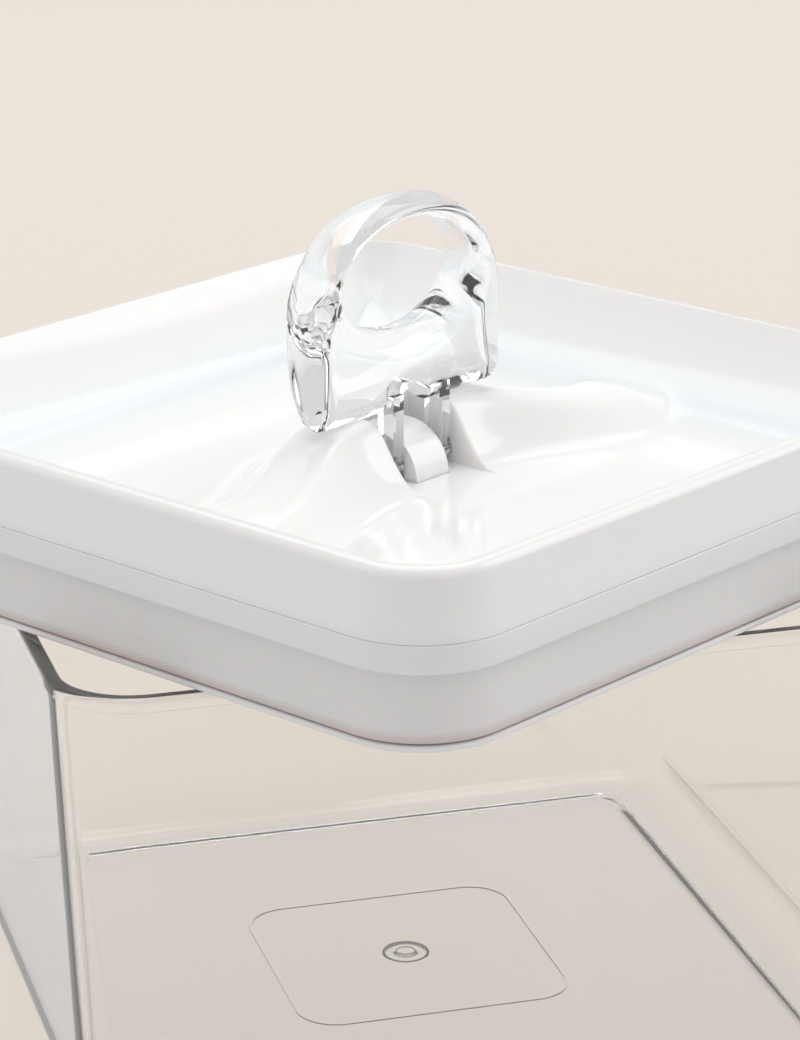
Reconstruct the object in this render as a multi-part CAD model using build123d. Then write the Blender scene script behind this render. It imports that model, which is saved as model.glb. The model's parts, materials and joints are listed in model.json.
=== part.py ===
"""Square storage canister with a flip-lock lid, in millimetres.

The lid lies level on the canister's rim, turned and set forward as it is when it has just been
taken off, with its flip handle upright. Lid parts are drawn in the lid's own frame, where z is 0
under the press plate and the handle folds towards -y, and are then placed on the rim.
"""
from build123d import *
import math
import os

# ---------------------------------------------------------------- canister
canister_height = 97.0
rim_half = 84.0
rim_corner = 16.0
rim_width = 2.7
lip_height = 2.8
lip_overhang = 0.8
lip_edge = 0.9
wall = 2.2
floor_half = 79.5
floor_corner = 13.5
foot_radius = 10.0
foot_recess_half = 66.0
foot_recess_corner = 6.0
foot_recess = 0.8
emboss_half = 28.3
emboss_corner = 8.5
emboss_line = 0.8
emboss_height = 0.4
emboss_root = 0.1
gate_radius = 4.5
gate_depth = 0.7
gate_nub_radius = 1.9
gate_nub_rise = 0.2
cut_past = 1.0

# ---------------------------------------------------------------- where the lid lies
lid_turn = 32.4
lid_offset_x = -6.4
lid_offset_y = -18.3
rest_gap = 0.2

# ---------------------------------------------------------------- lid heights, from the press plate's underside
plate_lip = 1.2
gasket_bottom = 2.4
gasket_to_flange = 0.05
liner_bottom = 15.0
cover_bottom = 20.4
seam_gap = 0.1
dish_floor = 15.5
lid_top = 32.8
cover_wall = 2.0

# ---------------------------------------------------------------- lid outlines, half sides and corner radii
cover_top_half = 80.6
cover_skirt_half = 82.9
cover_corner = 18.0
liner_half = 83.1
liner_corner = 18.5
gasket_half = 80.5
gasket_corner = 17.5
gasket_width = 5.6
plug_corner = 13.0
plug_inner_corner = 11.0
plate_half = 80.1
plate_corner = 17.0
plate_raised_corner = 11.0
plate_margin = 1.0
top_edge_radius = 2.4
dish_edge_half = 77.2
dish_profile = [(49.0, dish_floor), (56.5, 17.3), (65.0, 21.6), (72.0, 27.2), (dish_edge_half, lid_top)]
dish_corner_step = 0.2
dish_least_corner = 6.0
dish_wall_shift = 1.5

# ---------------------------------------------------------------- ridge that carries the handle, across (y, z) and along (x, z)
ridge_top = 28.0
ridge_front = -16.5
ridge_back = 19.0
ridge_half_length = 56.0
ridge_front_curve = [(ridge_front, dish_floor), (-12.2, 18.6), (-9.6, 22.2), (-5.6, 26.2), (0, ridge_top)]
ridge_back_curve = [(0, ridge_top), (5.5, 27.2), (12, 22.5), (ridge_back, dish_floor)]
ridge_back_slopes = [(1, 0), (1, -0.6)]
crest_curve = [(0, 28.2), (19.0, 27.6), (37.0, 24.5), (ridge_half_length, 20.5)]
pocket_half = 9.5
pocket_back = 4.6
pocket_wall = 2.2
pocket_reach = 8.0
above_lid = 40.0

# ---------------------------------------------------------------- handle and its pivot
pivot_y = -5.0
pivot_z = 18.2
pin_radius = 1.1
pin_half_length = 11.5
running_fit = 0.05
eccentric_radius = 2.3
plate_travel = 2.0
handle_half_width = 24.4
handle_half_depth = 6.0
handle_bottom = 28.6
handle_shoulder = 48.0
handle_top = 69.5
handle_edge = 2.0
handle_bottom_radius = 4.0
leg_root = 4.5
finger_half_width = 17.6
finger_half_height = 10.2
finger_centre = 54.2
leg_inner = 5.1
leg_outer = 8.0
leg_depth = 3.9
arch_radius = 5.1

# ---------------------------------------------------------------- pull stem, spring and fasteners
blade_half = 4.5
blade_front = -9.7
blade_back = 4.2
blade_top = 24.6
clearance = 0.3
slot_play = 0.1
plate_thickness = 1.6
boss_height = 3.4
boss_radius = 12.6
foot_flange = 2.0
foot_radius_stem = 9.0
liner_floor = 4.3
liner_wall = 2.0
cup_radius = 13.4
cup_wall = 1.6
cup_roof = 10.6
post_half = 38.0
post_radius = 4.0
stem_y = -2.5
spring_radius = 10.9
spring_wire = 1.0
spring_turns = 4.0
spring_play = 0.1
screw_radius = 1.5
screw_length = 9.0
screw_head_radius = 3.0
screw_head_height = 1.6
screw_head_play = 0.1
screw_head_gap = 0.05
screw_drive_length = 3.2
screw_drive_width = 0.9
screw_hole_in_stem = 8.0
plug_radius = 4.5
plug_height = 0.8


def rounded_square(half, corner, z):
    """A closed square outline with round corners, lying at height z."""
    return Plane.XY.offset(z) * RectangleRounded(2 * half, 2 * half, corner)


def square_block(half, corner, low, high):
    """A straight block with a rounded-square outline."""
    return extrude(rounded_square(half, corner, low), amount=high - low)


def square_loft(stages):
    """A smooth solid through rounded squares, each given as half side, corner radius and height."""
    return loft(Sketch() + [rounded_square(half, corner, z) for half, corner, z in stages])


def box_between(low, high):
    """A box from its lowest corner to its highest."""
    size = [b - a for a, b in zip(low, high)]
    centre = [(a + b) / 2 for a, b in zip(low, high)]
    return Pos(*centre) * Box(*size)


def place_on_rim(shape):
    """Moves a lid part from the lid's frame to where the lid lies on the canister."""
    spot = Pos(lid_offset_x, lid_offset_y, canister_height + rest_gap)
    return spot * Rot(0, 0, lid_turn) * shape


def canister_body():
    """One clear moulding: drafted walls, a rolled lip at the mouth and a rounded foot."""
    wall_top_half = rim_half - lip_overhang
    wall_top = canister_height - lip_height
    wall_top_corner = rim_corner - lip_overhang
    outside = square_loft([(floor_half, floor_corner, 0), (wall_top_half, wall_top_corner, wall_top)])
    outside = fillet(outside.edges().group_by(Axis.Z)[0], foot_radius)
    lip = square_block(rim_half, rim_corner, wall_top, canister_height)
    lip = fillet(lip.edges().group_by(Axis.Z)[-1], lip_edge)
    mouth_half = rim_half - rim_width
    inside = square_loft([
        (floor_half - wall, floor_corner - wall, wall + foot_recess),
        (mouth_half, rim_corner - rim_width, canister_height + cut_past),
    ])
    inside = fillet(inside.edges().group_by(Axis.Z)[0], foot_radius - wall)
    under = square_block(foot_recess_half, foot_recess_corner, -cut_past, foot_recess)
    body = outside + lip - inside - under
    outline = square_block(emboss_half, emboss_corner, foot_recess - emboss_height, foot_recess + emboss_root)
    outline -= square_block(emboss_half - emboss_line, emboss_corner - emboss_line, 0, wall)
    gate = extrude(Circle(gate_radius), amount=foot_recess + gate_depth)
    gate_nub = Pos(0, 0, foot_recess + gate_nub_rise) * extrude(Circle(gate_nub_radius), amount=gate_depth)
    return body + outline - gate + gate_nub


def ridge(inset):
    """The long ridge across the dish, smaller all over by inset: round in front, sloping to its ends."""
    low = dish_floor - cover_wall
    front = Spline(*ridge_front_curve)
    back = Spline(*ridge_back_curve, tangents=ridge_back_slopes)
    base = Polyline((ridge_back, dish_floor), (ridge_back, low), (ridge_front, low), (ridge_front, dish_floor))
    across = make_face(front + back + base)
    crest = Spline(*[(-x, z) for x, z in reversed(crest_curve[1:])], *crest_curve)
    end_x, end_z = crest_curve[-1]
    ends = Polyline((end_x, end_z), (end_x, low), (-end_x, low), (-end_x, end_z))
    along = make_face(crest + ends)
    if inset:
        across = Pos(0, -inset) * scale(across, (1 - 2 * inset / (ridge_back - ridge_front), 1, 1))
        along = Pos(0, -inset) * scale(along, (1 - inset / ridge_half_length, 1, 1))
    body = extrude(Plane.YZ * across, amount=ridge_half_length, both=True)
    return body & extrude(Plane.XZ * along, amount=dish_edge_half, both=True)


def lid_cover():
    """The glossy white top: a deep dish with a turned-down skirt and the ridge with its pocket."""
    skirt = square_loft([
        (cover_skirt_half, cover_corner, cover_bottom),
        (cover_top_half, cover_corner - 1, lid_top),
    ])
    skirt = fillet(skirt.edges().group_by(Axis.Z)[-1], top_edge_radius)
    hollow = square_loft([
        (cover_skirt_half - cover_wall, cover_corner - cover_wall, cover_bottom - cut_past),
        (cover_top_half - cover_wall, cover_corner - cover_wall, lid_top - cover_wall),
    ])
    dish_stages = []
    tray_stages = []
    for half, z in dish_profile:
        shrink = (dish_edge_half - half) * dish_corner_step
        dish_stages.append((half, max(cover_corner - 1 - shrink, dish_least_corner), z))
        tray_stages.append((half + dish_wall_shift, max(cover_corner - shrink, dish_least_corner), z - cover_wall))
    dish = square_loft(dish_stages)
    tray = square_loft(tray_stages)
    body = skirt - hollow + tray - dish
    body += ridge(0)
    pocket_front = ridge_front - pocket_reach
    walls_half = pocket_half + pocket_wall
    walls_back = pocket_back + pocket_wall
    pocket = box_between((-pocket_half, pocket_front, dish_floor), (pocket_half, pocket_back, above_lid))
    kept = box_between((-walls_half, pocket_front, 0), (walls_half, walls_back, above_lid))
    shell_inside = ridge(cover_wall) - kept
    body = body - shell_inside - pocket
    slot = box_between(
        (-blade_half - clearance, blade_front - clearance, 0),
        (blade_half + clearance, blade_back + clearance, dish_floor + cut_past),
    )
    bore = Pos(0, pivot_y, pivot_z) * Rot(0, 90, 0) * Cylinder(pin_radius + running_fit, 2 * walls_half + 4 * cut_past)
    return body - slot - bore


def lid_liner():
    """The lower white shell: an outer band, a flange over the gasket, a plug with a spring cup and
    four posts that carry the cover."""
    band = square_block(liner_half, liner_corner, liner_bottom, cover_bottom - seam_gap)
    band -= square_block(liner_half - liner_wall, liner_corner - liner_wall, liner_bottom + liner_wall, above_lid)
    plug_half = gasket_half - gasket_width - clearance
    plug = square_block(plug_half, plug_corner, liner_floor, liner_bottom + liner_wall)
    body = band + plug
    body -= square_block(plug_half - liner_wall, plug_inner_corner, liner_floor + liner_wall, above_lid)
    cup_height = cup_roof + liner_wall - liner_floor
    cup = Pos(0, stem_y, liner_floor) * extrude(Circle(cup_radius + cup_wall), amount=cup_height)
    cup_inside = Pos(0, stem_y, 0) * extrude(Circle(cup_radius), amount=cup_roof)
    slot = box_between(
        (-blade_half - clearance, blade_front - clearance, 0),
        (blade_half + clearance, blade_back + clearance, above_lid),
    )
    body = body + cup - cup_inside - slot
    post_base = liner_floor + liner_wall
    post_height = dish_floor - cover_wall - post_base
    for x in (-post_half, post_half):
        for y in (-post_half, post_half):
            body += Pos(x, y, post_base) * extrude(Circle(post_radius), amount=post_height)
    return body


def sealing_gasket():
    """The tall silicone band that the press plate squeezes out against the canister's wall."""
    low = gasket_bottom
    high = liner_bottom - gasket_to_flange
    band = square_block(gasket_half, gasket_corner, low, high)
    inner_half = gasket_half - gasket_width
    inner_corner = gasket_corner - gasket_width
    return band - square_block(inner_half, inner_corner, low - cut_past, high + cut_past)


def press_plate():
    """The flat plate under the gasket, with a boss for the stem and a sunk hole for its screw."""
    body = square_block(plate_half, plate_corner, 0, plate_lip)
    raised_half = plate_half - gasket_width - plate_margin
    body += square_block(raised_half, plate_raised_corner, 0, plate_thickness)
    head_hole = extrude(Circle(screw_head_radius + screw_head_play), amount=plug_height + screw_head_height)
    body += Pos(0, stem_y, 0) * extrude(Circle(boss_radius), amount=boss_height)
    body -= Pos(0, stem_y, 0) * extrude(Circle(plug_radius), amount=plug_height)
    body -= Pos(0, stem_y, 0) * head_hole
    return body - Pos(0, stem_y, 0) * extrude(Circle(screw_radius), amount=boss_height + cut_past)


def pull_stem():
    """The white blade whose round-fronted head stands between the handle's legs and lifts the plate."""
    height = blade_top - dish_floor
    reach = -blade_front
    wider = blade_half + cut_past
    blade = box_between((-blade_half, blade_front, boss_height), (blade_half, blade_back, blade_top))
    corner = box_between((-wider, blade_front - cut_past, dish_floor), (wider, 0, blade_top + cut_past))
    nose = Pos(0, 0, dish_floor) * Rot(0, 90, 0) * extrude(Ellipse(height, reach), wider, both=True)
    blade -= corner - nose
    foot = Pos(0, stem_y, boss_height) * extrude(Circle(foot_radius_stem), amount=foot_flange)
    body = blade + foot
    offset = plate_travel / 2
    swing = math.sqrt(2) * offset - offset
    room = eccentric_radius + slot_play
    slot = box_between(
        (-wider, pivot_y + offset - room, pivot_z - offset - room),
        (wider, pivot_y + offset + swing + room, pivot_z - offset + room),
    )
    hole = Pos(0, stem_y, boss_height) * extrude(Circle(screw_radius), amount=screw_hole_in_stem)
    return body - slot - hole


def pivot_pin():
    """A steel pin fixed in the handle's legs, with an eccentric middle that works in the stem's slot."""
    offset = plate_travel / 2
    shaft = Pos(0, pivot_y, pivot_z) * Rot(0, 90, 0) * Cylinder(pin_radius, 2 * pin_half_length)
    middle = 2 * (blade_half - clearance)
    lobe = Pos(0, pivot_y + offset, pivot_z - offset) * Rot(0, 90, 0) * Cylinder(eccentric_radius, middle)
    return shaft + lobe


def flip_handle():
    """The clear handle: a thick bar with a finger ring above it and two legs below."""
    bar_height = handle_shoulder - handle_bottom
    outline = Pos(0, handle_bottom + bar_height / 2) * Rectangle(2 * handle_half_width, bar_height)
    crown_height = handle_top - handle_shoulder
    crown = Pos(0, handle_shoulder) * Ellipse(handle_half_width, crown_height)
    upper_half = Pos(0, handle_shoulder + crown_height) * Rectangle(3 * handle_half_width, 2 * crown_height)
    outline += crown & upper_half
    body = extrude(Plane.XZ * outline, amount=handle_half_depth, both=True)
    bottom_edges = body.edges().filter_by(Axis.Y).group_by(Axis.Z)[0]
    body = fillet(bottom_edges, handle_bottom_radius)
    finger = Pos(0, finger_centre) * Ellipse(finger_half_width, finger_half_height)
    body -= extrude(Plane.XZ * finger, amount=2 * handle_half_depth, both=True)
    rims = body.faces().group_by(Axis.Y)[0].edges() + body.faces().group_by(Axis.Y)[-1].edges()
    body = fillet(rims, handle_edge)
    body -= Pos(0, 0, handle_bottom) * Rot(90, 0, 0) * Cylinder(arch_radius, 4 * handle_half_depth)
    half = leg_depth / 2
    for side in (-1, 1):
        inner, outer = sorted((side * leg_inner, side * leg_outer))
        leg = box_between((inner, pivot_y - half, pivot_z), (outer, pivot_y + half, handle_bottom + leg_root))
        end = Pos((inner + outer) / 2, pivot_y, pivot_z) * Rot(0, 90, 0) * Cylinder(half, leg_outer - leg_inner)
        body += leg + end
    return body - Pos(0, pivot_y, pivot_z) * Rot(0, 90, 0) * Cylinder(pin_radius, 2 * handle_half_width)


def return_spring():
    """A steel compression spring round the stem, under the liner's cup."""
    low = boss_height + spring_wire / 2 + spring_play
    high = cup_roof - spring_wire / 2 - spring_play
    path = Helix((high - low) / spring_turns, high - low, spring_radius, center=(0, stem_y, low))
    section = Plane(path @ 0, z_dir=path % 0) * Circle(spring_wire / 2)
    return sweep(section, path=path, is_frenet=True)


def plate_screw():
    """The screw that holds the press plate to the stem, driven from below."""
    head_low = plug_height + screw_head_gap
    head_high = plug_height + screw_head_height
    head = Pos(0, stem_y, head_low) * extrude(Circle(screw_head_radius), amount=head_high - head_low)
    shank = Pos(0, stem_y, head_high) * extrude(Circle(screw_radius), amount=screw_length)
    cross = Rectangle(screw_drive_length, screw_drive_width) + Rectangle(screw_drive_width, screw_drive_length)
    drive = Pos(0, stem_y, plug_height) * extrude(cross, amount=screw_drive_width)
    return head + shank - drive


def screw_plug():
    """The small soft plug that closes the screw's hole in the press plate."""
    return Pos(0, stem_y, 0) * extrude(Circle(plug_radius), amount=plug_height)


canister_parts = {"canister_body": canister_body}
lid_parts = {
    "lid_cover": lid_cover,
    "lid_liner": lid_liner,
    "sealing_gasket": sealing_gasket,
    "press_plate": press_plate,
    "pull_stem": pull_stem,
    "pivot_pin": pivot_pin,
    "flip_handle": flip_handle,
    "return_spring": return_spring,
    "plate_screw": plate_screw,
    "screw_plug": screw_plug,
}

os.makedirs("parts", exist_ok=True)
for name, make in canister_parts.items():
    export_step(make(), f"parts/{name}.step")
for name, make in lid_parts.items():
    export_step(place_on_rim(make()), f"parts/{name}.step")
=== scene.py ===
import bpy
import bmesh
import json
import math
from mathutils import Matrix, Vector


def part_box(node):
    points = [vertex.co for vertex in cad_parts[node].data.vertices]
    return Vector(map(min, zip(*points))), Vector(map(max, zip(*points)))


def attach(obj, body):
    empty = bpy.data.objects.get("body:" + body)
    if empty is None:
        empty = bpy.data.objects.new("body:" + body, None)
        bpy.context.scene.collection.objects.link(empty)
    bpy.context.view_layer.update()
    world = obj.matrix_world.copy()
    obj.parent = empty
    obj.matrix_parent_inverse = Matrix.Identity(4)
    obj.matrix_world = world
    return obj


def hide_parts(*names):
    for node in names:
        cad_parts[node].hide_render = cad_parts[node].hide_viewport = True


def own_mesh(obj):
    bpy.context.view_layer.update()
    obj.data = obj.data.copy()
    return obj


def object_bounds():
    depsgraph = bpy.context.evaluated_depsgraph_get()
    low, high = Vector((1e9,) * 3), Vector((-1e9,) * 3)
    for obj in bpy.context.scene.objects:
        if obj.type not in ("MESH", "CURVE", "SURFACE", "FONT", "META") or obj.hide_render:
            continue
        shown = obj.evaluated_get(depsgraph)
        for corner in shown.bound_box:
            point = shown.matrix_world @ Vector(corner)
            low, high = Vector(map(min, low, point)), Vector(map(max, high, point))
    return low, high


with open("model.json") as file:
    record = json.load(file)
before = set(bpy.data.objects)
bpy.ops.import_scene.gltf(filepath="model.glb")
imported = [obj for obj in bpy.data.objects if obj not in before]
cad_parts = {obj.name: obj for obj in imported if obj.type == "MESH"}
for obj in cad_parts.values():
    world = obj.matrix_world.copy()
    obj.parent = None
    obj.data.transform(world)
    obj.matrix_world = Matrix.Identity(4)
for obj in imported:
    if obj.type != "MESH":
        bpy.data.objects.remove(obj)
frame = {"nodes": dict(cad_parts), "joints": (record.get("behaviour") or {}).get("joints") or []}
cad_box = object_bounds()

# ---------------------------------------------------------------- canister body
# One clear SAN moulding: drafted walls with round corners, a rolled lip at the mouth and a
# rounded foot. The mould leaves a sunk gate mark and a plain raised outline under the floor.
canister_height = 97.0
lip_bottom = 94.2
lip_half = 84.0
mouth_half = 81.3
wall_top_half = 83.2
wall_foot_half = 79.5
wall_thickness = 2.2
foot_radius = 10.0
floor_top = 3.0
recess_top = 0.6
recess_half = 64.5
recess_slope = 4.4
outline_half = 28.3
outline_width = 0.9
outline_height = 0.12
gate_radius = 4.7
gate_top = 1.9
gate_nub_radius = 1.9
outer_wall_heights = (10.8, 12, 50, 92, 93, 93.5, 93.9)
inner_wall_heights = (95.9, 95.4, 94, 50, 13, 12, 11.3)
clear_tint = (0.985, 0.98, 0.97, 1.0)
to_metres = Matrix.Scale(0.001, 4)


def corner_stations(count):
    """Places along one side of a square, from -1 to 1, closer together towards its corners."""
    return [math.sin(math.pi / 2 * (2 * i / count - 1)) for i in range(count)]


def square_ring(half, corner, z, stations):
    """Points round a square with round corners: each side's stations run between its diagonals."""
    corner = min(corner, half)
    flat = half - corner
    ring = []
    for side in range(4):
        turn = Matrix.Rotation(side * math.pi / 2, 3, "Z")
        for u in stations:
            along, out = abs(u) * half, half
            if along > flat:
                angle = math.radians(45) * (along - flat) / corner
                along, out = flat + corner * math.sin(angle), flat + corner * math.cos(angle)
            ring.append(turn @ Vector((out, math.copysign(along, u), z)))
    return ring


def arc(half, z, radius, start, end, steps):
    """Points of a circular arc in the half-side and height plane, with its angles in degrees."""
    angles = [math.radians(start + (end - start) * i / steps) for i in range(steps + 1)]
    return [(half + radius * math.cos(a), z + radius * math.sin(a)) for a in angles]


def skin_rings(name, rings, placing):
    """A closed mesh through rings of equal length: capped at both ends, in millimetres until placed."""
    work = bmesh.new()
    rows = [[work.verts.new(point) for point in ring] for ring in rings]
    for lower, upper in zip(rows, rows[1:]):
        for i in range(len(lower)):
            j = (i + 1) % len(lower)
            work.faces.new((lower[i], lower[j], upper[j], upper[i]))
    for row in (rows[0], rows[-1]):
        middle = work.verts.new(sum((v.co for v in row), Vector()) / len(row))
        for i in range(len(row)):
            work.faces.new((row[i], row[(i + 1) % len(row)], middle))
    return finish_mesh(name, work, placing)


def finish_mesh(name, work, placing, crease=35):
    """Turns a bmesh into an object with outward faces, smooth except at edges sharper than crease."""
    bmesh.ops.recalc_face_normals(work, faces=work.faces)
    work.transform(placing)
    mesh = bpy.data.meshes.new(name)
    work.to_mesh(mesh)
    work.free()
    mesh.shade_smooth()
    mesh.set_sharp_from_angle(angle=math.radians(crease))
    piece = bpy.data.objects.new(name, mesh)
    bpy.context.scene.collection.objects.link(piece)
    return piece


def smooth_step(t):
    t = min(max(t, 0.0), 1.0)
    return t * t * (3 - 2 * t)


def canister_profile():
    """Half side and height all round the moulding, from under the gate mark to the floor's top."""
    under = [(0.5, 1.1), (gate_nub_radius - 0.3, 1.1), (gate_nub_radius, 1.25)]
    under += [(gate_nub_radius + 0.1, gate_top - 0.1), (gate_nub_radius + 0.3, gate_top)]
    under += arc(gate_radius - 0.5, gate_top - 0.5, 0.5, 90, 0, 4)
    under += [(gate_radius + 0.05, recess_top + 0.1)]
    under += [(gate_radius + step, recess_top) for step in (0.15, 0.4, 0.9)]
    middle = outline_half - outline_width / 2
    for step in (-1.4, -0.9, -0.5, -0.25, 0, 0.25, 0.5, 0.9, 1.4):
        rise = outline_height * (1 - smooth_step(2 * abs(step) / outline_width))
        under.append((middle + step, recess_top - rise))
    for i in range(11):
        under.append((recess_half + recess_slope * i / 10, recess_top * (1 - smooth_step(i / 10))))
    foot = arc(wall_foot_half - foot_radius, foot_radius, foot_radius, 270, 358, 20)
    outer_slope = (wall_top_half - wall_foot_half) / (lip_bottom - foot_radius)
    outer = [(wall_foot_half + outer_slope * (z - foot_radius), z) for z in outer_wall_heights]
    lip = [(wall_top_half, lip_bottom - 0.15), (wall_top_half + 0.15, lip_bottom)]
    lip += arc(lip_half - 0.4, lip_bottom + 0.4, 0.4, 270, 360, 4)
    lip += arc(lip_half - 1.0, canister_height - 1.0, 1.0, 0, 90, 8)
    lip += arc(mouth_half + 0.8, canister_height - 0.8, 0.8, 90, 180, 8)
    inner_foot = wall_foot_half - wall_thickness
    inner_radius = foot_radius - wall_thickness
    inner_slope = (mouth_half - inner_foot) / (canister_height - foot_radius)
    inner = [(inner_foot + inner_slope * (z - foot_radius), z) for z in inner_wall_heights]
    inside = arc(inner_foot - inner_radius, floor_top + inner_radius, inner_radius, 2, -90, 18)
    inside += [(inner_foot - inner_radius - step, floor_top) for step in (0.4, 1, 3)]
    inside += [(half, floor_top) for half in (outline_half, gate_radius, 0.5)]
    return under + foot + outer + lip + inner + inside


def canister_corner(half, z):
    """The corner radius that goes with a half side: round marks near the middle, square further out."""
    if half <= gate_radius + 0.3:
        return half
    if half <= outline_half + 0.5:
        return half * 0.3
    return max(half - 66.0 - 2.0 * z / canister_height, 3.5)


canister_stations = corner_stations(56)
canister = skin_rings(
    "canister",
    [square_ring(h, canister_corner(h, z), z, canister_stations) for h, z in canister_profile()],
    to_metres,
)


def node_group(name, inputs, outputs):
    """An empty shader node group with its sockets: (name, kind, default) in, (name, kind) out."""
    group = bpy.data.node_groups.new(name, "ShaderNodeTree")
    for label, kind, default in inputs:
        socket = group.interface.new_socket(label, in_out="INPUT", socket_type="NodeSocket" + kind)
        socket.default_value = default
    for label, kind in outputs:
        group.interface.new_socket(label, in_out="OUTPUT", socket_type="NodeSocket" + kind)
    return group, group.nodes.new("NodeGroupInput"), group.nodes.new("NodeGroupOutput")


def add_node(tree, kind, settings=None, **values):
    """Adds a node, sets its options, and fills its sockets with values or links."""
    node = tree.nodes.new("ShaderNode" + kind)
    for option, value in (settings or {}).items():
        setattr(node, option, value)
    for label, value in values.items():
        socket = node.inputs[label.replace("_", " ")]
        if isinstance(value, bpy.types.NodeSocket):
            tree.links.new(value, socket)
        else:
            socket.default_value = value
    return node


def math_node(tree, operation, *values):
    """A math node on up to three values or sockets, and its result."""
    node = tree.nodes.new("ShaderNodeMath")
    node.operation = operation
    for socket, value in zip(node.inputs, values):
        if isinstance(value, bpy.types.NodeSocket):
            tree.links.new(value, socket)
        else:
            socket.default_value = value
    return node.outputs[0]


def moulded_group():
    """The slow ripple, the fine grain and the faint haze that a moulded plastic surface has."""
    group, given, result = node_group(
        "moulded_surface",
        [("Ripple Size", "Float", 0.03), ("Ripple", "Float", 0.5), ("Grain", "Float", 0.1),
         ("Roughness", "Float", 0.1), ("Haze", "Float", 0.05)],
        [("Height", "Float"), ("Roughness", "Float")],
    )
    place = add_node(group, "TexCoord").outputs["Object"]
    frequency = math_node(group, "DIVIDE", 1.0, given.outputs["Ripple Size"])
    ripple = add_node(group, "TexNoise", Vector=place, Scale=frequency, Detail=1.0).outputs["Fac"]
    grain = add_node(group, "TexNoise", Vector=place, Scale=2500.0, Detail=2.0).outputs["Fac"]
    height = math_node(group, "MULTIPLY", ripple, given.outputs["Ripple"])
    height = math_node(group, "MULTIPLY_ADD", grain, given.outputs["Grain"], height)
    cloud = add_node(group, "TexNoise", Vector=place, Scale=60.0, Detail=4.0).outputs["Fac"]
    rough = math_node(group, "MULTIPLY_ADD", cloud, given.outputs["Haze"], given.outputs["Roughness"])
    group.links.new(height, result.inputs["Height"])
    group.links.new(rough, result.inputs["Roughness"])
    return group


moulded_surface = moulded_group()


def new_material(name):
    """An empty node material, its tree and its output node."""
    material = bpy.data.materials.new(name)
    material.use_nodes = True
    material.node_tree.nodes.clear()
    return material, material.node_tree, material.node_tree.nodes.new("ShaderNodeOutputMaterial")


def add_moulded(tree, bump, **values):
    """Places the moulded surface group in a material: its roughness, and a normal from its height."""
    surface = add_node(tree, "Group", {"node_tree": moulded_surface}, **values)
    normal = add_node(tree, "Bump", Strength=1.0, Distance=bump, Height=surface.outputs["Height"])
    return surface.outputs["Roughness"], normal.outputs["Normal"]


def clear_plastic(name, tint, ior, clear, ripple):
    """Clear polished plastic. Light passes through it to what stands behind, less at the edges."""
    material, tree, output = new_material(name)
    rough_map, normal = add_moulded(
        tree, 0.00002, Ripple_Size=0.04, Ripple=ripple, Grain=0.0, Roughness=0.0, Haze=0.015)
    body = add_node(
        tree, "BsdfPrincipled", Base_Color=tint, Roughness=rough_map, IOR=ior,
        Transmission_Weight=clear, Normal=normal)
    through = add_node(tree, "BsdfTransparent", Color=tint)
    edge = add_node(tree, "Fresnel", IOR=ior)
    shadow = add_node(tree, "LightPath").outputs["Is Shadow Ray"]
    open_light = math_node(tree, "SUBTRACT", 1.0, edge.outputs[0])
    mix = add_node(tree, "MixShader", Fac=math_node(tree, "MULTIPLY", shadow, open_light))
    tree.links.new(body.outputs[0], mix.inputs[1])
    tree.links.new(through.outputs[0], mix.inputs[2])
    tree.links.new(mix.outputs[0], output.inputs["Surface"])
    return material


canister.data.materials.append(clear_plastic("clear_canister_plastic", clear_tint, 1.5, 0.97, 1.0))
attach(canister, "canister")
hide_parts("canister_body")

# ---------------------------------------------------------------- press plate
# The thin white plate under the sealing band, moulded in polypropylene. It hangs on the pull stem
# and rises towards the lid when the handle is folded down.
plate_low, plate_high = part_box("press_plate")
flip_joint = next(j for j in frame["joints"] if j["name"] == "handle_flip")
lid_centre = (plate_low + plate_high) / 2
lid_yaw = math.atan2(flip_joint["axis"][1], flip_joint["axis"][0])
lid_place = (
    Matrix.Translation((lid_centre.x, lid_centre.y, plate_low.z))
    @ Matrix.Rotation(lid_yaw, 4, "Z")
    @ to_metres
)
plate_half = 80.1
plate_corner = 17.0
plate_edge_top = 1.2
plate_middle_top = 1.6
plate_boss_top = 3.4
plate_boss_radius = 12.6
plate_edge_round = 0.45
plate_raised_half = 73.5
plate_cap_half = 20.0
stem_y = -2.5
plug_hole_radius = 4.52
plug_hole_top = 0.82
head_hole_radius = 3.1
head_hole_top = 2.42
shank_hole_radius = 1.52
white_plate = (0.875, 0.87, 0.87, 1.0)
lid_stations = corner_stations(48)


def lid_ring(half, z, full_half, full_corner):
    """A ring in the lid's frame whose corners stay concentric with the piece's outer outline."""
    return square_ring(half, max(full_corner - (full_half - half), 2.0), z, lid_stations)


def plate_profile():
    """Half side and height of the plate, from its underside over its edge to its raised middle."""
    round_half = plate_half - plate_edge_round
    edge = arc(round_half, plate_edge_round, plate_edge_round, 270, 360, 4)
    edge += arc(round_half, plate_edge_top - plate_edge_round, plate_edge_round, 0, 90, 4)
    inner = [(plate_raised_half + 0.1, plate_edge_top), (plate_raised_half, plate_middle_top)]
    return [(plate_cap_half, 0.0)] + edge + inner + [(plate_cap_half, plate_middle_top)]


def block(name, low, high):
    """A plain block for cutting or joining, in the lid's frame."""
    work = bmesh.new()
    bmesh.ops.create_cube(work, size=1)
    size = Vector(high) - Vector(low)
    centre = (Vector(high) + Vector(low)) / 2
    work.transform(Matrix.Translation(centre) @ Matrix.Diagonal((*size, 1)))
    return finish_mesh(name, work, Matrix.Identity(4))


def rod(name, radius, length, placing, sides=48):
    """A round bar along its own z, centred, for cutting or joining."""
    work = bmesh.new()
    bmesh.ops.create_cone(
        work, cap_ends=True, segments=sides, radius1=radius, radius2=radius, depth=length)
    return finish_mesh(name, work, placing)


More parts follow.
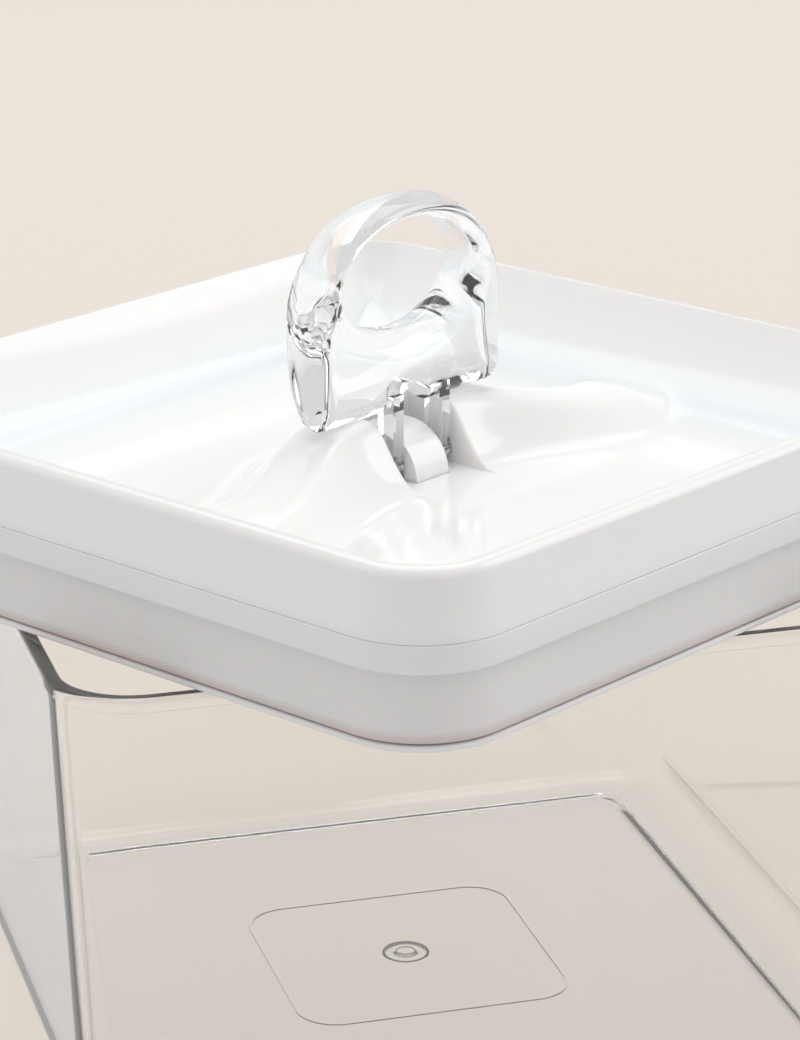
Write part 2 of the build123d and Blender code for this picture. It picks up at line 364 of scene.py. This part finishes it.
def combine(piece, tool, operation):
    """Joins or cuts a piece with a tool, which is used up."""
    change = piece.modifiers.new("combine", "BOOLEAN")
    change.object = tool
    change.operation = operation
    change.solver = "EXACT"
    depsgraph = bpy.context.evaluated_depsgraph_get()
    mesh = bpy.data.meshes.new_from_object(piece.evaluated_get(depsgraph))
    piece.modifiers.clear()
    piece.data = mesh
    bpy.data.objects.remove(tool)


def upright_rod(name, radius, low, high, x=0.0, y=0.0):
    """A round bar that stands in the lid's frame between two heights."""
    return rod(name, radius, high - low, Matrix.Translation((x, y, (low + high) / 2)))


def settle(piece, crease=35):
    """Puts a finished lid piece in its place and marks its sharp edges."""
    piece.data.transform(lid_place)
    piece.data.shade_smooth()
    piece.data.set_sharp_from_angle(angle=math.radians(crease))


plate = skin_rings(
    "press_plate_shell",
    [lid_ring(h, z, plate_half, plate_corner) for h, z in plate_profile()],
    Matrix.Identity(4),
)
below = -5.0
boss = upright_rod("boss", plate_boss_radius, plate_edge_top / 2, plate_boss_top, y=stem_y)
combine(plate, boss, "UNION")
for hole_name, hole_radius, hole_top in (
    ("plug_hole", plug_hole_radius, plug_hole_top),
    ("head_hole", head_hole_radius, head_hole_top),
    ("shank_hole", shank_hole_radius, plate_boss_top + 1),
):
    combine(plate, upright_rod(hole_name, hole_radius, below, hole_top, y=stem_y), "DIFFERENCE")
settle(plate)


def white_plastic(name, color, rough, ripple, depth):
    """White moulded plastic: a little light goes in and out again, under a hard even surface."""
    material, tree, output = new_material(name)
    rough_map, normal = add_moulded(
        tree, 0.00002, Ripple_Size=0.05, Ripple=ripple, Grain=0.06, Roughness=rough, Haze=0.05)
    body = add_node(
        tree, "BsdfPrincipled", Base_Color=color, Roughness=rough_map, IOR=1.5,
        Subsurface_Weight=0.15, Subsurface_Scale=depth, Normal=normal)
    tree.links.new(body.outputs[0], output.inputs["Surface"])
    return material


satin_white = white_plastic("satin_white_plastic", white_plate, 0.3, 0.5, 0.002)
plate.data.materials.append(satin_white)
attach(plate, "plate")
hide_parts("press_plate")

# ---------------------------------------------------------------- sealing gasket
# A tall band of translucent silicone round the lid's plug. Folding the handle squeezes it, so
# that it swells against the canister's wall.
gasket_half = 80.5
gasket_corner = 17.5
gasket_width = 5.6
gasket_bottom = 1.6
gasket_top = 14.95
gasket_round = 0.8
silicone_tint = (0.83, 0.815, 0.81, 1.0)
# Painted shade: the colour and height of a darker, warmer band at the gasket's bottom, standing in for
# the shadow of the gap above the plate.
painted_shade_tint = (0.66, 0.58, 0.56, 1.0)
painted_shade_height = 2.6


def gasket_rings():
    """Rings round the band's outer face, lips and inner face, ending where they began."""
    out = arc(gasket_half - gasket_round, gasket_bottom + gasket_round, gasket_round, 270, 360, 6)
    out += [(gasket_half - 0.25, (gasket_bottom + gasket_top) / 2)]
    out += arc(gasket_half - 0.5, gasket_top - 0.5, 0.5, 0, 90, 4)
    inner = gasket_half - gasket_width
    out += [(inner, gasket_top), (inner, gasket_bottom)]
    return out


def skin_loop(name, rings, placing):
    """A closed band: as skin_rings, but its last ring joins its first."""
    work = bmesh.new()
    rows = [[work.verts.new(point) for point in ring] for ring in rings]
    for lower, upper in zip(rows, rows[1:] + rows[:1]):
        for i in range(len(lower)):
            j = (i + 1) % len(lower)
            work.faces.new((lower[i], lower[j], upper[j], upper[i]))
    return finish_mesh(name, work, placing)


gasket = skin_loop(
    "silicone_band",
    [lid_ring(h, z, gasket_half, gasket_corner) for h, z in gasket_rings()],
    lid_place,
)


def silicone():
    """Translucent silicone rubber: milky, with painted shade as a darker, warmer band at its bottom."""
    material, tree, output = new_material("translucent_silicone")
    rough_map, normal = add_moulded(
        tree, 0.00003, Ripple_Size=0.02, Ripple=0.6, Grain=0.2, Roughness=0.38, Haze=0.1)
    place = add_node(tree, "TexCoord").outputs["Object"]
    height = add_node(tree, "SeparateXYZ", Vector=place).outputs["Z"]
    # Painted shade: the colour turns to the darker tint towards the band's bottom, where the gap above
    # the plate shades it.
    lip = add_node(tree, "MapRange", {"interpolation_type": "SMOOTHSTEP"}, Value=height)
    lip.inputs["From Min"].default_value = plate_low.z + 0.001 * (gasket_bottom + painted_shade_height)
    lip.inputs["From Max"].default_value = plate_low.z + 0.001 * gasket_bottom
    color = add_node(tree, "Mix", {"data_type": "RGBA"})
    tree.links.new(lip.outputs[0], color.inputs[0])
    color.inputs[6].default_value = silicone_tint
    color.inputs[7].default_value = painted_shade_tint
    body = add_node(
        tree, "BsdfPrincipled", Base_Color=color.outputs[2], Roughness=rough_map, IOR=1.41,
        Subsurface_Weight=0.6, Subsurface_Scale=0.004, Normal=normal)
    tree.links.new(body.outputs[0], output.inputs["Surface"])
    return material


silicone_rubber = silicone()
gasket.data.materials.append(silicone_rubber)
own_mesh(gasket)
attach(gasket, "lid")
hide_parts("sealing_gasket")

# ---------------------------------------------------------------- lid liner
# The lower white shell of the lid. Its outer band shows under the cover's skirt, and its flange
# holds the gasket from above.
liner_half = 83.1
liner_corner = 18.5
liner_bottom = 15.0
liner_top = 20.37
liner_round = 0.9
liner_wall = 2.0
liner_floor = 4.3
plug_half = 74.6
plug_chamfer = 0.6
plug_chamfer_height = 0.3
liner_hole_half = 7.5
seam_round = 0.22
post_half = 38.0
post_radius = 4.0
post_top = 13.15
cup_radius = 13.4
cup_wall = 1.6
cup_roof = 10.6
cup_top = 12.6
slot_half = 4.8
slot_front = -10.0
slot_back = 4.5


def liner_profile():
    """Half side and height round the shell's wall: plug, flange, band to the seam, and back inside."""
    plug = [(liner_hole_half, liner_floor), (plug_half - plug_chamfer, liner_floor)]
    plug += [(plug_half, liner_floor + plug_chamfer_height), (plug_half, liner_bottom)]
    band = arc(liner_half - liner_round, liner_bottom + liner_round, liner_round, 270, 360, 6)
    band += arc(liner_half - seam_round, liner_top - seam_round, seam_round, 0, 90, 4)
    flange_top, plug_inner = liner_bottom + liner_wall, plug_half - liner_wall
    inside = [(liner_half - liner_wall, liner_top), (liner_half - liner_wall, flange_top)]
    inside += [(plug_inner, flange_top), (plug_inner, liner_floor + liner_wall)]
    return plug + band + inside + [(liner_hole_half, liner_floor + liner_wall)]


liner = skin_loop(
    "liner_band",
    [lid_ring(h, z, liner_half, liner_corner) for h, z in liner_profile()],
    Matrix.Identity(4),
)
for x in (-post_half, post_half):
    for y in (-post_half, post_half):
        post = upright_rod("post", post_radius, liner_floor + liner_wall / 2, post_top, x, y)
        combine(liner, post, "UNION")
combine(liner, upright_rod("cup", cup_radius + cup_wall, liner_floor, cup_top, y=stem_y), "UNION")
combine(liner, upright_rod("cup_inside", cup_radius, below, cup_roof, y=stem_y), "DIFFERENCE")
liner_slot = block("stem_slot", (-slot_half, slot_front, below), (slot_half, slot_back, cup_top + 1))
combine(liner, liner_slot, "DIFFERENCE")
settle(liner)
liner.data.materials.append(satin_white)
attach(liner, "lid")
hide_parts("lid_liner")

# ---------------------------------------------------------------- lid cover
# The glossy white top, one ABS moulding: a deep dish that the folded handle lies in, with a
# turned-down skirt and a long ridge with the pocket where the handle turns.
cover_corner = 18.0
skirt_half = 82.9
skirt_bottom = 20.4
top_half = 80.6
lid_top = 32.8
dish_floor = 15.5
dish_edge_half = 77.6
dish_flat_half = 46.0
top_round = 2.4
under_dish = 13.2
ridge_top = 28.0
ridge_flat = 12.0
ridge_taper = 38.0
ridge_fall = 0.45
ridge_bend = 11.5
ridge_end = 50.0
ridge_end_length = 18.0
blend_power = 2.2
ridge_front_reach = 8.9
ridge_back_reach = 13.0
pocket_half = 9.5
pocket_back = 4.6
pocket_round = 1.4
edge_steps = (-0.03, 0, 0.03, 0.07, 0.12, 0.18, 0.26, 0.36, 0.5, 0.7, 1)
pivot_y = -5.0
pivot_z = 18.2
bore_radius = 1.15
bore_half_length = 11.7


def dish_height(half):
    """Height of the dish where its outline has this half side: flat, then curving up to the edge."""
    t = min(max((half - dish_flat_half) / (dish_edge_half - dish_flat_half), 0.0), 1.0)
    return dish_floor + (lid_top - dish_floor) * t ** 2.3


def pocket_share(x, y):
    """How much of the ridge is left: none in the pocket, all beyond its walls and their round edges."""
    beyond = max(abs(x) - pocket_half, y - pocket_back)
    t = min(max(beyond / pocket_round, 0.0), 1.0)
    return 1 - (1 - t) ** 4


def ridge_height(x, y):
    """Height of the ridge above the dish's floor: its crest sinks and bends forward to both sides."""
    sideways = smooth_step((abs(x) - ridge_flat) / ridge_taper)
    crest = (ridge_top - dish_floor) * (1 - ridge_fall * sideways)
    crest *= 1 - smooth_step((abs(x) - ridge_end) / ridge_end_length)
    behind = y + ridge_bend * sideways
    away = abs(behind) / (ridge_front_reach if behind < 0 else ridge_back_reach)
    foot = 1 - smooth_step((away - 1.1) / 1.1)
    return crest / (1 + away ** 4.4) * foot * pocket_share(x, y)


def cover_height(x, y, half):
    """Height of the cover's upper face: the dish and the ridge, blended into each other."""
    wall, mound = dish_height(half) - dish_floor, ridge_height(x, y)
    return dish_floor + (wall ** blend_power + mound ** blend_power) ** (1 / blend_power)


def mirrored(values):
    return sorted({-v for v in values} | set(values))


def grid_lines():
    """Places of the patch's lines each way, closer together at the pocket's edges."""
    fine = [pocket_half + pocket_round * t for t in edge_steps]
    x_lines = mirrored([0, 1.6, 3.2, 4.8, 6.0, 7.2, 8.4] + fine + [11.8 + 1.1 * i for i in range(28)])
    back = [pocket_back + pocket_round * t for t in edge_steps]
    wanted = len(x_lines) - len(back)
    reach = max(x_lines)
    return x_lines, sorted(back + [reach * (2 * i / (wanted - 1) - 1) for i in range(wanted)])


def cover_mesh():
    """The cover in one skin: a patch of lines over the ridge, then rings out, over and underneath."""
    x_lines, y_lines = grid_lines()
    reach = max(x_lines)
    count = len(x_lines) - 1
    work = bmesh.new()
    patch = [[work.verts.new((x, y, cover_height(x, y, 0))) for y in y_lines] for x in x_lines]
    for i in range(count):
        for j in range(count):
            work.faces.new((patch[i][j], patch[i + 1][j], patch[i + 1][j + 1], patch[i][j + 1]))
    sides = [
        ([patch[count][j] for j in range(count)], y_lines),
        ([patch[count - i][count] for i in range(count)], [-x for x in reversed(x_lines)]),
        ([patch[0][count - j] for j in range(count)], [-y for y in reversed(y_lines)]),
        ([patch[i][0] for i in range(count)], x_lines),
    ]
    rim = [vert for verts, _ in sides for vert in verts]
    stations = [[line / reach for line in lines[:count]] for _, lines in sides]
    rows = [rim]
    for half, corner, z in cover_rings(reach):
        ring = []
        for side in range(4):
            whole = square_ring(half, corner, 0, stations[side])
            ring += whole[side * count:(side + 1) * count]
        if z is None:
            ring = [Vector((p.x, p.y, cover_height(p.x, p.y, half))) for p in ring]
        else:
            ring = [Vector((p.x, p.y, z)) for p in ring]
        rows.append([work.verts.new(p) for p in ring])
    for lower, upper in zip(rows, rows[1:]):
        for i in range(len(lower)):
            j = (i + 1) % len(lower)
            work.faces.new((lower[i], lower[j], upper[j], upper[i]))
    work.faces.new(rows[-1])
    return finish_mesh("cover", work, Matrix.Identity(4))


def cover_rings(start):
    """Half side, corner radius and height of each ring; no height means the dish decides it."""
    steps = 40
    rings = []
    for i in range(1, steps + 1):
        half = start + (dish_edge_half - start) * i / steps
        rings.append((half, max(cover_corner - (skirt_half - half), 0.3) * i / steps, None))
    outside = arc(dish_edge_half + 0.8, lid_top - 0.8, 0.8, 130, 90, 3)
    outside += arc(top_half - top_round, lid_top - top_round, top_round, 90, 10, 8)
    outside += [(skirt_half - 0.45, skirt_bottom + 1.5)]
    outside += arc(skirt_half - seam_round, skirt_bottom + seam_round, seam_round, 0, -90, 4)
    outside += [(skirt_half - 2, skirt_bottom), (top_half - 2.4, lid_top - 4.5), (72.0, 24.0)]
    rings += [(half, cover_corner - (skirt_half - half), z) for half, z in outside]
    rings.append((50.0, 6.0, under_dish))
    return rings


cover = cover_mesh()
across = Matrix.Rotation(math.pi / 2, 4, "Y")
cover_slot = block("stem_slot", (-slot_half, slot_front, 0), (slot_half, slot_back, dish_floor + 1))
combine(cover, cover_slot, "DIFFERENCE")
on_pivot = Matrix.Translation((0, pivot_y, pivot_z)) @ across
pin_bore = rod("pin_bore", bore_radius, 2 * bore_half_length, on_pivot)
combine(cover, pin_bore, "DIFFERENCE")
settle(cover, crease=50)
gloss_white = white_plastic("gloss_white_plastic", (0.93, 0.922, 0.913, 1.0), 0.08, 1.0, 0.002)
cover.data.materials.append(gloss_white)
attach(cover, "lid")
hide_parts("lid_cover")

# ---------------------------------------------------------------- pull stem, screw, plug and spring
# What lifts the plate: a white ABS blade through slots in the cover and the liner, screwed to the
# plate from below under a soft plug. A steel spring round it pushes the plate down again.
stem = frame["nodes"]["pull_stem"]
stem.data.materials.clear()
stem.data.materials.append(gloss_white)
stem.data.set_sharp_from_angle(angle=math.radians(30))


def steel():
    """Drawn stainless steel: bright, with fine lines that spread the highlight."""
    material, tree, output = new_material("drawn_steel")
    rough_map, normal = add_moulded(
        tree, 0.00002, Ripple_Size=0.01, Ripple=0.3, Grain=0.5, Roughness=0.22, Haze=0.15)
    body = add_node(
        tree, "BsdfPrincipled", Base_Color=(0.62, 0.62, 0.63, 1.0), Metallic=1.0, Roughness=rough_map,
        Normal=normal)
    tree.links.new(body.outputs[0], output.inputs["Surface"])
    return material


drawn_steel = steel()
spring_radius = 10.9
spring_wire = 1.0
spring_low = 4.0
spring_high = 10.0
spring_turns = 4
coil_steps = 48
wire_sides = 10


def spring_mesh():
    """The coil: a round wire that follows a helix and ends in flat cuts."""
    work = bmesh.new()
    count = spring_turns * coil_steps
    rise = (spring_high - spring_low) / count
    rows = []
    for i in range(count + 1):
        turn = Matrix.Rotation(2 * math.pi * i / coil_steps, 3, "Z")
        row = []
        for k in range(wire_sides):
            angle = 2 * math.pi * k / wire_sides
            out, up = spring_wire / 2 * math.cos(angle), spring_wire / 2 * math.sin(angle)
            point = Vector((spring_radius + out, 0, spring_low + rise * i + up))
            row.append(work.verts.new(turn @ point))
        rows.append(row)
    for lower, upper in zip(rows, rows[1:]):
        for k in range(wire_sides):
            j = (k + 1) % wire_sides
            work.faces.new((lower[k], lower[j], upper[j], upper[k]))
    work.faces.new(rows[0])
    work.faces.new(rows[-1])
    return finish_mesh("spring_coil", work, Matrix.Translation((0, stem_y, 0)))


spring = spring_mesh()
settle(spring)
spring.data.materials.append(drawn_steel)
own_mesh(spring)
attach(spring, "lid")
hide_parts("return_spring")
for name, material in (
    ("plate_screw", drawn_steel), ("pivot_pin", drawn_steel),
    ("screw_plug", silicone_rubber),
):
    node = frame["nodes"][name]
    node.data.materials.clear()
    node.data.materials.append(material)

# ---------------------------------------------------------------- flip handle
# One clear acrylic moulding: a thick oval bar cut flat at its ends, a ring for a finger above it
# and two legs below, which turn on the pin.
bar_bottom = 28.6
bar_tip_y = -2.3
bar_front_round = 5.4
bar_back_round = 14.4
handle_half_width = 24.4
handle_half_depth = 6.0
end_edge_round = 2.2
end_edge_draft = 0.34
crown_centre = 44.0
crown_rise = 24.9
crown_reach = 25.4
crown_power = 2.5
crown_round = 3.2
shoulder_round = 8.0
finger_centre = 54.2
finger_half_width = 17.4
finger_half_height = 10.3
finger_round_top = 3.4
finger_round_bottom = 7.0
leg_inner = 5.1
leg_outer = 8.0
leg_half_depth = 1.95
pin_radius = 1.1
arch_radius = 5.1
leg_root = 4.0
cut_length = 60.0
furthest_reach = 60.0
around_steps = 200
section_steps = 26
end_steps = 8


def rounding(distance, radius):
    """A quarter-round from 0 at a border to 1 at one radius inside it."""
    t = min(max(distance / radius, 0.0), 1.0)
    return math.sqrt(1 - (1 - t) ** 2)


def crown_height(x):
    """Height of the handle's outline over a place along its width."""
    share = min(abs(x) / crown_reach, 1.0)
    return crown_centre + crown_rise * (1 - share ** crown_power) ** (1 / crown_power)


def handle_reach(direction):
    """Distances from the finger hole's centre to its border and to the handle's outline."""
    c, s = math.cos(direction), math.sin(direction)
    hole = 1 / math.hypot(c / finger_half_width, s / finger_half_height)
    near, far = hole, furthest_reach
    for _ in range(40):
        middle = (near + far) / 2
        x, z = middle * c, finger_centre + middle * s
        inside = abs(x) < handle_half_width and bar_bottom < z < crown_height(x)
        near, far = (middle, far) if inside else (near, middle)
    return hole, near


def handle_depths(x, z, from_hole, rising):
    """Front and back y of the handle's skin, from its distance to the hole and to its borders."""
    up = z - bar_bottom
    front = bar_tip_y - (handle_half_depth + bar_tip_y) * rounding(up, bar_front_round)
    back = bar_tip_y + (handle_half_depth - bar_tip_y) * rounding(up, bar_back_round)
    hole_round = finger_round_bottom + (finger_round_top - finger_round_bottom) * rising
    share = rounding(from_hole, hole_round)
    top_round = crown_round + (shoulder_round - crown_round) * (x / handle_half_width) ** 2
    share *= rounding(crown_height(x) - z, top_round)
    share *= 1 - end_edge_draft * (1 - rounding(handle_half_width - abs(x), end_edge_round))
    return front * share, back * share


def handle_ring_mesh():
    """The bar and ring: sections from the hole's border outwards, with flat cut ends."""
    work = bmesh.new()
    rows = []
    for i in range(around_steps):
        direction = 2 * math.pi * i / around_steps
        c, s = math.cos(direction), math.sin(direction)
        hole, border = handle_reach(direction)
        front_side, back_side = [], []
        for k in range(section_steps + 1):
            out = (border - hole) * (1 - math.cos(math.pi * k / section_steps)) / 2
            x, z = (hole + out) * c, finger_centre + (hole + out) * s
            front, back = handle_depths(x, z, out, (1 + s) / 2)
            front_side.append(Vector((x, front, z)))
            back_side.append(Vector((x, back, z)))
        end = [front_side[-1].lerp(back_side[-1], k / end_steps) for k in range(1, end_steps)]
        rows.append([work.verts.new(p) for p in front_side + end + back_side[:0:-1]])
    for lower, upper in zip(rows, rows[1:] + rows[:1]):
        for i in range(len(lower)):
            j = (i + 1) % len(lower)
            work.faces.new((lower[i], lower[j], upper[j], upper[i]))
    bmesh.ops.remove_doubles(work, verts=work.verts, dist=0.004)
    return finish_mesh("flip_handle_clear", work, Matrix.Identity(4))


handle = handle_ring_mesh()
through = Matrix.Translation((0, 0, bar_bottom)) @ Matrix.Rotation(math.pi / 2, 4, "X")
combine(handle, rod("arch_cut", arch_radius, cut_length, through), "DIFFERENCE")
for side in (-1, 1):
    near, far = sorted((side * leg_inner, side * leg_outer))
    leg_high = (far, pivot_y + leg_half_depth, bar_bottom + leg_root)
    leg = block("leg", (near, pivot_y - leg_half_depth, pivot_z), leg_high)
    end = rod("leg_end", leg_half_depth, leg_outer - leg_inner,
              Matrix.Translation(((near + far) / 2, pivot_y, pivot_z)) @ across)
    combine(leg, end, "UNION")
    combine(handle, leg, "UNION")
combine(handle, rod("pin_hole", pin_radius, cut_length, on_pivot), "DIFFERENCE")
settle(handle, crease=30)
handle_clear = clear_plastic("clear_handle_acrylic", (0.985, 0.988, 0.995, 1.0), 1.49, 0.98, 0.3)
handle.data.materials.append(handle_clear)
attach(handle, "handle")
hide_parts("flip_handle")

# ---------------------------------------------------------------- studio
# A seamless pale floor under a large soft light. Darker surroundings low in front of the object
# draw the dark lines in the clear plastic.
floor_size = 12.0
floor_color = (0.835, 0.767, 0.70, 1.0)
floor_bounce = (0.72, 0.72, 0.72, 1.0)
floor_glow = 1.0
floor_paper_share = 0.27


def floor_material():
    """Paper that glows a little, as over a light table; what it throws on the object is neutral."""
    material, tree, output = new_material("studio_paper")
    place = add_node(tree, "TexCoord").outputs["Object"]
    fibre = add_node(tree, "TexNoise", Vector=place, Scale=900.0, Detail=3.0).outputs["Fac"]
    normal = add_node(tree, "Bump", Strength=0.1, Distance=0.0002, Height=fibre).outputs["Normal"]
    path = add_node(tree, "LightPath")
    seen_through = path.outputs["Is Transmission Ray"]
    mirrored_ray = math_node(tree, "SUBTRACT", path.outputs["Is Glossy Ray"], seen_through)
    bounced = math_node(tree, "MAXIMUM", path.outputs["Is Diffuse Ray"], mirrored_ray)
    color = add_node(tree, "Mix", {"data_type": "RGBA"})
    tree.links.new(bounced, color.inputs[0])
    color.inputs[6].default_value = floor_color
    color.inputs[7].default_value = floor_bounce
    body = add_node(tree, "BsdfDiffuse", Color=color.outputs[2], Roughness=1.0, Normal=normal)
    glow = add_node(tree, "Emission", Color=color.outputs[2], Strength=floor_glow)
    both = add_node(tree, "MixShader", Fac=floor_paper_share)
    tree.links.new(glow.outputs[0], both.inputs[1])
    tree.links.new(body.outputs[0], both.inputs[2])
    tree.links.new(both.outputs[0], output.inputs["Surface"])
    return material


work = bmesh.new()
bmesh.ops.create_grid(work, x_segments=4, y_segments=4, size=floor_size / 2)
floor = finish_mesh("studio_floor", work, Matrix.Translation((0, 0, cad_box[0][2])))
floor.data.materials.append(floor_material())


def soft_light(name, place, aim, size, power_watts):
    lamp = bpy.data.lights.new(name, "AREA")
    lamp.shape = "RECTANGLE"
    lamp.size, lamp.size_y = size
    lamp.energy = power_watts
    light = bpy.data.objects.new(name, lamp)
    light.location = place
    light.rotation_euler = (Vector(aim) - Vector(place)).to_track_quat("-Z", "Y").to_euler()
    bpy.context.scene.collection.objects.link(light)


soft_light("overhead_box", (0.1, 0.5, 1.6), (0, 0, 0.1), (1.6, 1.4), 10.5)
soft_light("left_box", (-1.5, 0.3, 0.9), (0, 0, 0.1), (0.8, 1.2), 0.5)
soft_light("right_box", (1.6, -0.1, 0.9), (0, 0, 0.1), (0.7, 1.2), 5.5)


def studio_world():
    """Soft surroundings: bright above, a little darker at the sides and dark low in front."""
    world = bpy.data.worlds.new("studio")
    world.use_nodes = True
    tree = world.node_tree
    background = tree.nodes["Background"]
    way = add_node(tree, "SeparateXYZ", Vector=add_node(tree, "TexCoord").outputs["Generated"])
    up, back = way.outputs["Z"], way.outputs["Y"]
    low = add_node(tree, "MapRange", {"interpolation_type": "SMOOTHSTEP"}, Value=up)
    low.inputs["From Min"].default_value = 0.3
    low.inputs["From Max"].default_value = 0.1
    front = add_node(tree, "MapRange", {"interpolation_type": "SMOOTHSTEP"}, Value=back)
    front.inputs["From Min"].default_value = 0.1
    front.inputs["From Max"].default_value = -0.5
    dark = math_node(tree, "MULTIPLY", low.outputs[0], front.outputs[0])
    strength = math_node(tree, "MULTIPLY_ADD", dark, -0.4, 0.72)
    tree.links.new(strength, background.inputs["Strength"])
    background.inputs["Color"].default_value = (1.0, 1.0, 1.0, 1.0)
    bpy.context.scene.world = world


studio_world()
bpy.context.scene.view_settings.view_transform = "Standard"

# ---------------------------------------------------------------- camera
# A long lens from a little above, so that the lid's near corner fills the frame's middle.
camera_azimuth = math.radians(-15.44)
camera_elevation = math.radians(17.786)
camera_roll = math.radians(-0.361)
camera_distance = 0.75208
camera_target = Vector((-0.00008, 0.00003, 0.11001))
lens = bpy.data.cameras.new("camera")
lens.sensor_width = 36.0
lens.lens = 132.69
lens.shift_x = -0.0011
lens.shift_y = -0.0677
lens.clip_start = 0.01
camera = bpy.data.objects.new("camera", lens)
bpy.context.scene.collection.objects.link(camera)
view = Vector((
    -math.sin(camera_azimuth) * math.cos(camera_elevation),
    math.cos(camera_azimuth) * math.cos(camera_elevation),
    -math.sin(camera_elevation),
))
camera.location = camera_target - camera_distance * view
camera.rotation_mode = "QUATERNION"
upright = Matrix.Rotation(math.pi / 2 - camera_elevation, 4, "X")
camera.rotation_quaternion = (
    Matrix.Rotation(camera_azimuth, 4, "Z") @ upright @ Matrix.Rotation(camera_roll, 4, "Z")
).to_quaternion()
bpy.context.scene.camera = camera
